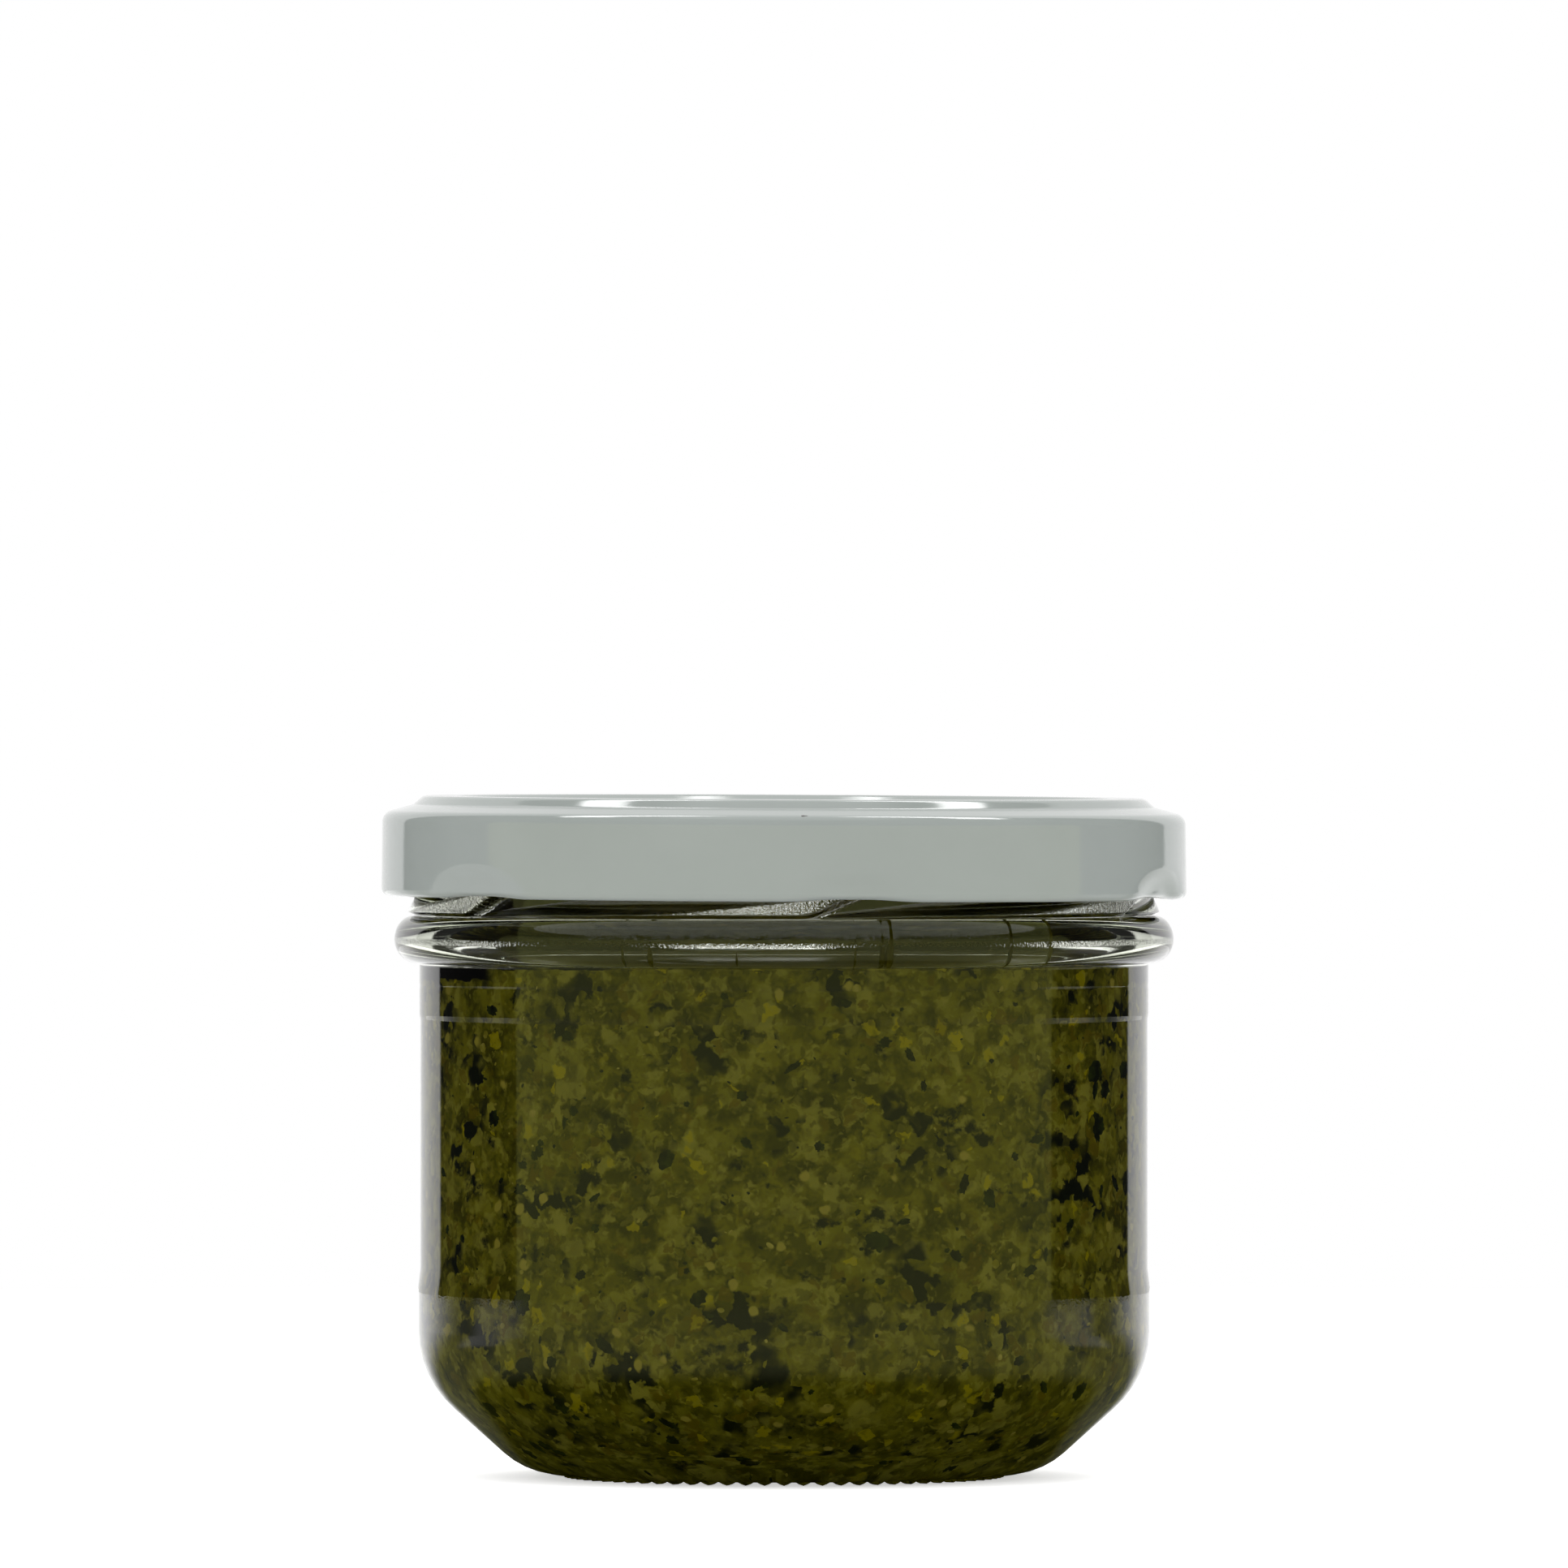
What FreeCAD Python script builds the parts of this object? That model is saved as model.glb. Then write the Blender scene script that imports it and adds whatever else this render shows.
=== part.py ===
import FreeCAD
import Part
import math
import os

# A jar of pesto: a tapered glass jar, filled with pesto, with a pressed steel lug lid.
# Millimetres. +Z is up, -Y is the front, and the origin is the centre of the ring on the table.
# A bearing is an angle in degrees, counted from the front towards +X and seen from above.

# ---- glass body, from the table up ----------------------------------------------------------
wall = 2.35
body_radius = 38.83          # band under the label panel, the widest part of the body
panel_recess = 0.26          # the label panel lies this far inside that band
panel_bottom = 20.0
panel_run_out = 2.2          # height over which the band eases into the panel
panel_ease = 3.0
shoulder_height = 5.8        # from the top of the label panel to the bead
shoulder_out = 0.1           # the shoulder stands out this far over the panel
shoulder_edge = 0.35         # height of the small step between them
shoulder_ease = 0.25

# ---- base and tapered heel ------------------------------------------------------------------
taper_angle = 48.2           # degrees between the taper and the jar's axis
taper_height = 10.6          # where the taper's line meets the body's
taper_ease = 11.0
heel_ease = 9.0
foot_width = 2.0             # the flat ring that the jar stands on
push_up = 1.5                # the middle of the base is domed in this far
push_up_step = 1.1           # height of the dome's steep edge
push_up_run = 1.5            # width of that edge
push_up_flat = 8.0           # radius of the dome's flat middle
push_up_ease = 1.2
foot_inner_ease = 0.4
base_thickness = 3.1
floor_ease = 8.0

# ---- stippled ring under the base -----------------------------------------------------------
knurl_count = 72
knurl_height = 0.22
knurl_width = 1.3
knurl_flat = 0.5             # width of the flat crest that touches the table
knurl_margin = 0.35          # a knurl stops this far short of the ring's edges

# ---- neck: carrying bead, groove, threads and rim -------------------------------------------
rim_height = 71.9
finish_height = 14.85        # from the middle of the bead to the rim
bead_height = 5.1
bead_out = 2.28              # the bead stands out this far from the groove above it
bead_flat = 0.3              # straight stretch left at the bead's widest place
groove_wall = 2.83           # wall of the neck between the bead and the upper step
rim_wall = 2.53              # wall above the step
rim_step_drop = 5.3          # from the rim down to the step
rim_outer_ease = 1.35
rim_inner_ease = 0.9
neck_ease = 0.3

thread_count = 6
thread_bearing = 5.0         # low end of the first thread
thread_out = 1.8             # a thread's crest stands out this far from the groove
thread_foot_gap = 0.3        # from the bead up to a thread's low end
thread_height = 2.8          # where the thread is full
thread_rise = 6.9            # degrees: slope of the low end's upper side
thread_drift = 1.1           # degrees: slope of the full thread
thread_sweep = 50.0          # bearing covered before the thread climbs over the next lug
thread_climb_sweep = 7.0     # bearing over which it climbs
thread_end_sweep = 14.0      # bearing covered by its raised end
thread_root = 0.6            # depth to which a thread is rooted in the neck
thread_low_flank = 1.65      # height of the flank under the crest
thread_high_flank = 0.7
thread_tip = 0.4             # height of a thread at its pointed ends
thread_station = 3.0         # bearing from one section of a thread to the next

# ---- steel lid ------------------------------------------------------------------------------
sheet = 0.22
lid_height = 10.62
curl_radius = 0.8            # outside radius of the rolled edge
curl_turn = 300.0            # degrees through which the edge is rolled
curl_clearance = 0.25        # between the rolled edge and the threads
skirt_draft = 0.1            # the skirt is this much narrower at the shoulder
shoulder_drop = 1.85         # from the lid's top down to the shoulder's outer corner
shoulder_round = 1.5
seat_width = 4.65            # raised ring whose underside rests on the rim
seat_inset = 0.5             # it ends this far inside the rim's outer face
seat_ease = 0.9
seat_slope = 1.3             # width of its inner slope
step_width = 1.55            # width of its outer slope
step_drop = 1.3
step_ease = 1.3
panel_drop = 0.75            # the middle panel lies this far below the raised ring
button_radius = 17.0         # safety button in the middle of the lid
button_height = 0.4
button_slope = 1.6
button_ease = 2.0

lug_count = 6
lug_bearing = 10.0
lug_sweep = 6.0
lug_height = 1.15
lug_grip = 0.95              # how far a lug reaches in under the thread's crest
lug_gap = 0.25               # from a lug up to the thread that holds it
lug_ease = 0.35

# ---- contents -------------------------------------------------------------------------------
headspace = 16.5             # from the pesto's edge up to the rim
pesto_crown = 0.8            # the middle of the pesto stands this far above its edge
# Hollows round the edge of the pesto: bearing, depth and spread.
pesto_hollows = ((-62.0, 3.3, 9.0), (74.0, 3.2, 6.0), (140.0, 1.5, 11.0), (-140.0, 2.1, 12.0))
surface_cells = 12           # spans across the patch that shapes the pesto's top
surface_margin = 4.0         # the patch runs this far past the cavity

# ---- what follows from these sizes ----------------------------------------------------------
panel_radius = body_radius - panel_recess
bore = panel_radius - wall
shoulder_radius = panel_radius + shoulder_out
groove_radius = bore + groove_wall
bead_radius = groove_radius + bead_out
rim_radius = bore + rim_wall
crest_radius = groove_radius + thread_out
bead_middle = rim_height - finish_height
bead_bottom = bead_middle - bead_height / 2
bead_top = bead_middle + bead_height / 2
panel_top = bead_bottom - shoulder_height
heel_radius = body_radius - (taper_height - knurl_height) * math.tan(math.radians(taper_angle))
foot_radius = heel_radius - heel_ease * math.tan(math.radians((90 - taper_angle) / 2))
dome_height = knurl_height + push_up
floor_height = dome_height + base_thickness
bore_top = rim_height - 2 * rim_inner_ease
lid_top = rim_height + sheet
lid_bottom = lid_top - lid_height
curl_centre_height = lid_bottom + curl_radius
skirt_radius = crest_radius + curl_clearance + 2 * curl_radius
curl_centre_radius = skirt_radius - curl_radius
lug_top = curl_centre_height + lug_height / 2
pesto_level = rim_height - headspace


def axis_turn(face, degrees=360):
    """The solid that a face makes when it is turned about the jar's axis."""
    return face.revolve(FreeCAD.Vector(0, 0, 0), FreeCAD.Vector(0, 0, 1), degrees)


def polar(radius, bearing, height=0.0):
    """The point at a radius, bearing and height."""
    turn = math.radians(bearing)
    return FreeCAD.Vector(radius * math.sin(turn), -radius * math.cos(turn), height)


def profile_point(radius, height):
    """A point of an outline that is turned about the axis."""
    return FreeCAD.Vector(radius, 0, height)


def line(start, end):
    return Part.LineSegment(start, end).toShape()


def rounded_path(corners):
    """Edges through corners (radius, height, ease), with an arc of that radius in each corner."""
    places = [profile_point(radius, height) for radius, height, _ in corners]
    eases = [ease for _, _, ease in corners[1:-1]]
    edges = []
    start = places[0]
    for before, corner, after, ease in zip(places, places[1:], places[2:], eases):
        arrive = (before - corner).normalize()
        leave = (after - corner).normalize()
        half_angle = arrive.getAngle(leave) / 2
        reach = ease / math.tan(half_angle)
        arc_start = corner + arrive * reach
        arc_end = corner + leave * reach
        inward = (arrive + leave).normalize()
        arc_middle = corner + inward * (ease / math.sin(half_angle) - ease)
        edges.append(line(start, arc_start))
        if ease > 0:
            edges.append(Part.Arc(arc_start, arc_middle, arc_end).toShape())
        start = arc_end
    edges.append(line(start, places[-1]))
    return edges


def one_solid(shape, name):
    """The shape as one valid solid."""
    shape = shape.removeSplitter()
    if len(shape.Solids) != 1 or not shape.isValid():
        raise ValueError(f"{name} is not one valid solid")
    return shape.Solids[0]


def smooth_step(share):
    """Eases from 0 to 1 as share goes from 0 to 1."""
    share = min(max(share, 0.0), 1.0)
    return share * share * (3 - 2 * share)


# ---- glass jar ------------------------------------------------------------------------------
def outer_corners():
    """The outside of the jar, from the middle of its base to the inside of its rim."""
    foot_inner = foot_radius - foot_width
    bead_ease = min((bead_height - bead_flat) / 2, bead_out - bead_flat / 2)
    return [
        (0, dome_height, 0),
        (push_up_flat, dome_height, 0),
        (foot_inner - push_up_run, knurl_height + push_up_step, push_up_ease),
        (foot_inner, knurl_height, foot_inner_ease),
        (heel_radius, knurl_height, heel_ease),
        (body_radius, taper_height, taper_ease),
        (body_radius, panel_bottom, panel_ease),
        (panel_radius, panel_bottom + panel_run_out, panel_ease),
        (panel_radius, panel_top, shoulder_ease),
        (shoulder_radius, panel_top + shoulder_edge, shoulder_ease),
        (shoulder_radius, bead_bottom, shoulder_ease),
        (bead_radius, bead_bottom, bead_ease),
        (bead_radius, bead_top, bead_ease),
        (groove_radius, bead_top, 0),
        (groove_radius, rim_height - rim_step_drop, neck_ease),
        (rim_radius, rim_height - rim_step_drop + groove_radius - rim_radius, neck_ease),
        (rim_radius, rim_height, rim_outer_ease),
        (bore, rim_height, rim_inner_ease),
        (bore, bore_top, 0),
    ]


def cavity_corners(top):
    """The inside of the jar, from the given height down to the middle of its floor."""
    slope = math.tan(math.radians(taper_angle))
    taper_gap = wall / math.cos(math.radians(taper_angle))
    inner_taper_height = taper_height + (taper_gap - (body_radius - bore)) / slope
    floor_radius = bore - (inner_taper_height - floor_height) * slope
    return [
        (bore, top, 0),
        (bore, inner_taper_height, taper_ease - wall),
        (floor_radius, floor_height, floor_ease),
        (0, floor_height, 0),
    ]


def thread_drop(sweep):
    """How far the full thread's underside has risen over a stretch of bearing."""
    return groove_radius * math.radians(sweep) * math.tan(math.radians(thread_drift))


def thread_climb():
    """How far a thread's end climbs, so that it clears the lug that it holds."""
    lug_at = lug_bearing - thread_bearing + 360 / thread_count
    underside = bead_top + thread_foot_gap + thread_drop(lug_at)
    return lug_top + lug_gap - underside


def thread_band(sweep):
    """Underside and top of a thread at a bearing counted from its low end."""
    climbed = thread_climb() * smooth_step((sweep - thread_sweep) / thread_climb_sweep)
    low = bead_top + thread_foot_gap + thread_drop(sweep) + climbed
    along = groove_radius * math.radians(sweep)
    full = min(thread_tip + along * math.tan(math.radians(thread_rise)), thread_height)
    closing = (sweep - thread_sweep - thread_climb_sweep) / thread_end_sweep
    height = full - (full - thread_tip) * smooth_step(closing)
    return low, low + height


def thread_section(start_bearing, sweep):
    """The closed outline of a thread at one bearing, rooted in the neck."""
    low, high = thread_band(sweep)
    height = high - low
    crest = groove_radius + thread_out * min(1.0, math.sqrt(height / thread_height))
    root = groove_radius - thread_root
    flank_share = height / (thread_low_flank + thread_high_flank + thread_tip)
    corners = [
        (root, low),
        (groove_radius, low),
        (crest, low + thread_low_flank * flank_share),
        (crest, high - thread_high_flank * flank_share),
        (groove_radius, high),
        (root, high),
        (root, low),
    ]
    bearing = start_bearing + sweep
    return Part.makePolygon([polar(radius, bearing, height) for radius, height in corners])


def thread(start_bearing):
    """One thread: a ridge that rises from a pointed end and climbs over the lug that it holds."""
    whole_sweep = thread_sweep + thread_climb_sweep + thread_end_sweep
    stations = round(whole_sweep / thread_station)
    sweeps = [whole_sweep * station / stations for station in range(stations + 1)]
    return Part.makeLoft([thread_section(start_bearing, sweep) for sweep in sweeps], True, True)


def knurl(bearing):
    """One short bar with a flat crest across the ring that the jar stands on."""
    inner = foot_radius - foot_width + knurl_margin
    length = foot_width - 2 * knurl_margin
    root = 1.5 * knurl_height
    root_half = knurl_flat / 2 + (knurl_width - knurl_flat) / 2 * root / knurl_height
    section = [
        FreeCAD.Vector(-knurl_flat / 2, -inner, 0),
        FreeCAD.Vector(knurl_flat / 2, -inner, 0),
        FreeCAD.Vector(root_half, -inner, root),
        FreeCAD.Vector(-root_half, -inner, root),
        FreeCAD.Vector(-knurl_flat / 2, -inner, 0),
    ]
    bar = Part.Face(Part.makePolygon(section)).extrude(FreeCAD.Vector(0, -length, 0))
    bar.rotate(FreeCAD.Vector(0, 0, 0), FreeCAD.Vector(0, 0, 1), bearing)
    return bar


def glass_jar():
    outside = rounded_path(outer_corners())
    inside = rounded_path(cavity_corners(bore_top))
    middle = line(profile_point(0, floor_height), profile_point(0, dome_height))
    body = axis_turn(Part.Face(Part.Wire(outside + inside + [middle])))
    threads = [thread(thread_bearing + n * 360 / thread_count) for n in range(thread_count)]
    knurls = [knurl(n * 360 / knurl_count) for n in range(knurl_count)]
    return one_solid(body.multiFuse(threads).multiFuse(knurls), "glass_jar")


# ---- lid ------------------------------------------------------------------------------------
def lid_corners():
    """The outside of the lid's sheet, from its middle to the start of the rolled edge."""
    panel = lid_top - panel_drop
    seat_outer = rim_radius - seat_inset
    seat_inner = seat_outer - seat_width
    return [
        (0, panel + button_height, 0),
        (button_radius - button_slope, panel + button_height, button_ease),
        (button_radius, panel, button_ease),
        (seat_inner, panel, seat_ease),
        (seat_inner + seat_slope, lid_top, seat_ease),
        (seat_outer, lid_top, seat_ease),
        (seat_outer + step_width, lid_top - step_drop, step_ease),
        (skirt_radius - skirt_draft, lid_top - shoulder_drop, shoulder_round),
        (skirt_radius, curl_centre_height, 0),
    ]


def curl_point(turn, inset):
    """A point of the rolled edge, at a turn from the skirt and inset from the outside."""
    angle = math.radians(turn)
    radius = curl_radius - inset
    height = curl_centre_height - radius * math.sin(angle)
    return profile_point(curl_centre_radius + radius * math.cos(angle), height)


def curl_arc(inset):
    turns = (0, curl_turn / 2, curl_turn)
    return Part.Arc(*[curl_point(turn, inset) for turn in turns]).toShape()


def rolled_edge():
    """Section of the sheet's lower edge, rolled inwards."""
    lip = line(curl_point(curl_turn, 0), curl_point(curl_turn, sheet))
    start = line(curl_point(0, sheet), curl_point(0, 0))
    return Part.Face(Part.Wire([curl_arc(0), lip, curl_arc(sheet), start]))


def pressed_sheet():
    """Section of the lid's panel, raised ring and skirt."""
    outside = Part.Wire(rounded_path(lid_corners()))
    band = outside.makeOffset2D(sheet, 0, True, True, False)
    if band.BoundBox.ZMax > lid_top + sheet / 2:
        band = outside.makeOffset2D(-sheet, 0, True, True, False)
    return band


def lug(bearing):
    """A stretch of the rolled edge pressed in until it reaches under a thread."""
    inner = crest_radius - lug_grip
    lug_bottom = lug_top - lug_height
    tongue = rounded_path([
        (curl_centre_radius, lug_bottom, 0),
        (inner, lug_bottom, lug_ease),
        (inner, lug_top, lug_ease),
        (curl_centre_radius, lug_top, 0),
    ])
    root = line(profile_point(curl_centre_radius, lug_top), profile_point(curl_centre_radius, lug_bottom))
    block = axis_turn(Part.Face(Part.Wire(tongue + [root])), lug_sweep)
    block.rotate(FreeCAD.Vector(0, 0, 0), FreeCAD.Vector(0, 0, 1), bearing - 90 - lug_sweep / 2)
    return block


def lid():
    section = pressed_sheet().fuse(rolled_edge()).removeSplitter()
    lugs = [lug(lug_bearing + n * 360 / lug_count) for n in range(lug_count)]
    return one_solid(axis_turn(section.Faces[0]).multiFuse(lugs), "lid")


# ---- contents -------------------------------------------------------------------------------
def pesto_height(x, y):
    """Height of the pesto's uneven top at a place."""
    share = min(math.hypot(x, y) / bore, 1.0)
    height = pesto_level + pesto_crown * (1 - share * share)
    for bearing, depth, spread in pesto_hollows:
        middle = polar(bore, bearing)
        away = math.hypot(x - middle.x, y - middle.y)
        height -= depth * math.exp(-((away / spread) ** 2))
    return height


def above_pesto():
    """Everything over the pesto's uneven top."""
    half = bore + surface_margin
    marks = [half * (2 * mark / surface_cells - 1) for mark in range(surface_cells + 1)]
    rows = [[FreeCAD.Vector(x, y, pesto_height(x, y)) for x in marks] for y in marks]
    surface = Part.BSplineSurface()
    surface.interpolate(rows)
    return surface.toShape().extrude(FreeCAD.Vector(0, 0, rim_height))


def pesto():
    """The pesto, which fills the cavity up to its uneven top."""
    sides = rounded_path(cavity_corners(rim_height))
    middle = line(profile_point(0, floor_height), profile_point(0, rim_height))
    top = line(profile_point(0, rim_height), profile_point(bore, rim_height))
    cavity = axis_turn(Part.Face(Part.Wire(sides + [middle, top])))
    return one_solid(cavity.cut(above_pesto()), "pesto")


def main():
    os.makedirs("parts", exist_ok=True)
    nodes = {"glass_jar": glass_jar(), "lid": lid(), "pesto": pesto()}
    for name, shape in nodes.items():
        shape.exportStep(f"parts/{name}.step")
        print(name, round(shape.Volume / 1000, 2), "ml")


main()
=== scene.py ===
import bpy
import math
import random
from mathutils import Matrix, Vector, noise


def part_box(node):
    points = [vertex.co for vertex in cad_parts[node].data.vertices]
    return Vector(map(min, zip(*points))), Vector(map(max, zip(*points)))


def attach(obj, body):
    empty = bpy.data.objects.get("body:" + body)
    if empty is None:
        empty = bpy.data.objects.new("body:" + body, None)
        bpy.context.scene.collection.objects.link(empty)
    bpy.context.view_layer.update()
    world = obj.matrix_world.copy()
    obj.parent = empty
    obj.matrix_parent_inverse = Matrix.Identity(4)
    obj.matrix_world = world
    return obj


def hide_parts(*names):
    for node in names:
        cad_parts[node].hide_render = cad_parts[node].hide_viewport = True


# A tapered glass jar of pesto with a pressed steel lid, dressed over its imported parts.
# Sizes in the dictionaries are millimetres and bearings are degrees, counted from the front.
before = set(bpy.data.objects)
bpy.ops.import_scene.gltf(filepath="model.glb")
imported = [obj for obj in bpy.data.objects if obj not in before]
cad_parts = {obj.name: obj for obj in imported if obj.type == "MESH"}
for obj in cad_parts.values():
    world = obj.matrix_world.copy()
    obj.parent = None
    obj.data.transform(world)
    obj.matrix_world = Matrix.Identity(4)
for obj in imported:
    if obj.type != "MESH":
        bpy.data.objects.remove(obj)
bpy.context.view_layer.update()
jarLow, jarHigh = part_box("glass_jar")
lidLow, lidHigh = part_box("lid")
mm = 0.001
scene = bpy.context.scene
random.seed(11)
print("frame loaded")


# helpers that every piece uses
def deselectAll():
    if bpy.context.object and bpy.context.object.mode == "EDIT":
        bpy.ops.object.mode_set(mode="OBJECT")
    bpy.ops.object.select_all(action="DESELECT")


def smoothStep(share):
    share = min(max(share, 0.0), 1.0)
    return share * share * (3 - 2 * share)


def bearingOf(point):
    # degrees from the front towards +X
    return math.degrees(math.atan2(point.x, -point.y))


def bearingGap(bearing, other):
    return (bearing - other + 180) % 360 - 180


def rowPlaces(length, rows, support=0.18):
    # shares along a straight run, with a supporting row close to each end
    if length < 5 * support:
        return [1.0]
    edge = support / length
    middle = [edge + (1 - 2 * edge) * row / rows for row in range(rows + 1)]
    return middle + [1.0]


def roundedOutline(corners, arcStep=9.0):
    # corners are (radius, height, ease, rows): the ease rounds the corner, and the rows divide
    # the straight run before it
    places = [Vector((radius, 0, height)) for radius, height, ease, rows in corners]
    outline = [places[0]]
    for index in range(1, len(places)):
        corner, ease, rows = places[index], corners[index][2], corners[index][3]
        arrive = (places[index - 1] - corner).normalized()
        arc = [corner]
        if ease > 0:
            leave = (places[index + 1] - corner).normalized()
            half = arrive.angle(leave) / 2
            centre = corner + (arrive + leave).normalized() * ease / math.sin(half)
            first = corner + arrive * ease / math.tan(half) - centre
            last = corner + leave * ease / math.tan(half) - centre
            turn = first.angle(last)
            steps = max(2, math.ceil(math.degrees(turn) / arcStep))
            arc = [centre + first.slerp(last, step / steps) * ease for step in range(steps + 1)]
        start = outline[-1]
        run = arc[0] - start
        for share in rowPlaces(run.length, rows):
            outline.append(start + run * share)
        outline += arc[1:]
    return outline


def turnOutline(name, outline, steps):
    # one vertex is drawn out along the outline, which is then spun about the axis
    deselectAll()
    points = [point * mm for point in outline]
    bpy.ops.mesh.primitive_plane_add(size=mm, location=points[0])
    piece = bpy.context.object
    piece.name = name
    piece.data.name = name
    bpy.ops.object.transform_apply(location=True, rotation=True, scale=True)
    bpy.ops.object.mode_set(mode="EDIT")
    bpy.ops.mesh.select_all(action="SELECT")
    bpy.ops.mesh.merge(type="CENTER")
    for before, after in zip(points, points[1:]):
        bpy.ops.mesh.extrude_vertices_move(TRANSFORM_OT_translate={"value": after - before})
    bpy.ops.mesh.select_all(action="SELECT")
    bpy.ops.mesh.spin(steps=steps, angle=2 * math.pi, center=(0, 0, 0), axis=(0, 0, 1))
    bpy.ops.mesh.select_all(action="SELECT")
    bpy.ops.mesh.remove_doubles(threshold=1e-6)
    bpy.ops.mesh.normals_make_consistent(inside=False)
    bpy.ops.object.mode_set(mode="OBJECT")
    bpy.ops.object.shade_smooth()
    return piece


def joinPieces(name, pieces):
    deselectAll()
    for piece in pieces:
        piece.select_set(True)
    bpy.context.view_layer.objects.active = pieces[0]
    bpy.ops.object.join()
    joined = bpy.context.object
    joined.name = name
    return joined


def dress(piece, material, node):
    piece.data.materials.clear()
    piece.data.materials.append(material)
    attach(piece, "root")
    if node:
        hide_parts(node)
    return piece


def newMaterial(name, **settings):
    material = bpy.data.materials.new(name)
    material.use_nodes = True
    shader = material.node_tree.nodes["Principled BSDF"]
    for socket, value in settings.items():
        shader.inputs[socket.replace("_", " ")].default_value = value
    return material, material.node_tree, shader


def addNode(tree, kind, inputs=None, **settings):
    node = tree.nodes.new(kind)
    for key, value in settings.items():
        setattr(node, key, value)
    for socket, value in (inputs or {}).items():
        if isinstance(value, bpy.types.NodeSocket):
            tree.links.new(value, node.inputs[socket])
        else:
            node.inputs[socket].default_value = value
    return node


def mathNode(tree, operation, *values):
    return addNode(tree, "ShaderNodeMath", dict(enumerate(values)), operation=operation).outputs[0]


def mapRange(tree, value, low, high, toLow=0.0, toHigh=1.0, smooth=True):
    inputs = {"Value": value, "From Min": low, "From Max": high, "To Min": toLow, "To Max": toHigh}
    kind = "SMOOTHSTEP" if smooth else "LINEAR"
    return addNode(tree, "ShaderNodeMapRange", inputs, interpolation_type=kind).outputs["Result"]


def mixColour(tree, share, first, second, blend="MIX"):
    node = addNode(tree, "ShaderNodeMix", data_type="RGBA", blend_type=blend)
    for socket, value in zip((node.inputs[0], node.inputs[6], node.inputs[7]), (share, first, second)):
        if isinstance(value, bpy.types.NodeSocket):
            tree.links.new(value, socket)
        else:
            socket.default_value = value
    return node.outputs[2]


def objectPlace(tree):
    return addNode(tree, "ShaderNodeTexCoord").outputs["Object"]


def splitPlace(tree, place):
    return addNode(tree, "ShaderNodeSeparateXYZ", {0: place}).outputs


def axisDistance(tree, parts):
    flat = addNode(tree, "ShaderNodeCombineXYZ", {0: parts[0], 1: parts[1]}).outputs[0]
    return addNode(tree, "ShaderNodeVectorMath", {0: flat}, operation="LENGTH").outputs["Value"]


def noiseAt(tree, place, scale, detail=2.0, roughness=0.5):
    inputs = {"Vector": place, "Scale": scale, "Detail": detail, "Roughness": roughness}
    return addNode(tree, "ShaderNodeTexNoise", inputs).outputs


def bandMask(tree, value, low, high, soft):
    # 1 between two edges that fade a little
    rise = mapRange(tree, value, low - soft, low + soft)
    fall = mapRange(tree, value, high - soft, high + soft, 1.0, 0.0)
    return mathNode(tree, "MULTIPLY", rise, fall)


# the table, the camera and the light round the jar
studio = {
    "cameraPlace": (0, -2.07, 0.087),      # metres
    "cameraAim": (0, 0, 0.0735),
    "lens": 448.0,
    "tableRadius": 0.62,
    "tableGloss": (0.3, 0.31, 0.14, 1),    # painted light: how pale the table's front looks in glass and enamel
    "tableFlagShade": (0.13, 0.135, 0.09, 1),   # painted shade where the flags stand
    "tableSide": (0.4, 0.4, 0.37, 1),      # and painted light beside the jar
    "tableShadowUnderJar": (0.04, 0.042, 0.006, 1),  # and a painted shadow right under the jar
    "whiteFade": (0.5, 1.1),   # radians from straight behind over which the table's white fades out
    "sideFade": (1.15, 1.3),   # and over which its side and its front begin
    "frontFade": (1.5, 1.7),
    "sideAway": (0.11, 0.14),  # metres from the axis at which its side begins
    "shadowUnderJarAway": (0.045, 0.06),             # and at which the painted shadow right under the jar ends
    "white": (1, 1, 1, 1),
    "sideLight": 0.8,          # the world's light from the two sides, against 1 from front and back
    "overhead": 0.62,          # and this much more from above
    "backEdge": 39.0,          # degrees from straight behind to the edge of the white backdrop
    "flagEdge": 86.0,          # and to the far edge of the dark flags beside it
    "flag": (0.02, 0.02, 0.02, 1),
    "frontCard": (0.38, 0.4, 0.15, 1),     # seen level in front
    "frontTop": (0.02, 0.02, 0.01, 1),     # and over it
    "frontHigh": (0.2, 0.4),   # sines of the heights over which the one turns into the other
    "topCard": (0.6, 0.6, 0.6, 1),
    "topHigh": (0.93, 0.97),   # and over which the card overhead begins
    "stripLow": 0.83,          # sines of the heights between which two strip lights hang behind
    "stripHigh": 0.9,
    "stripFrom": 0.2,          # radians to either side at which they begin
    "stripReach": 1.15,        # and end
    "stripLight": 8.0,
    "tableLight": 0.45,        # how strongly the table lights what is in the glass
    "shadow": 0.45,            # how much of its shadow the table keeps
}


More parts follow.
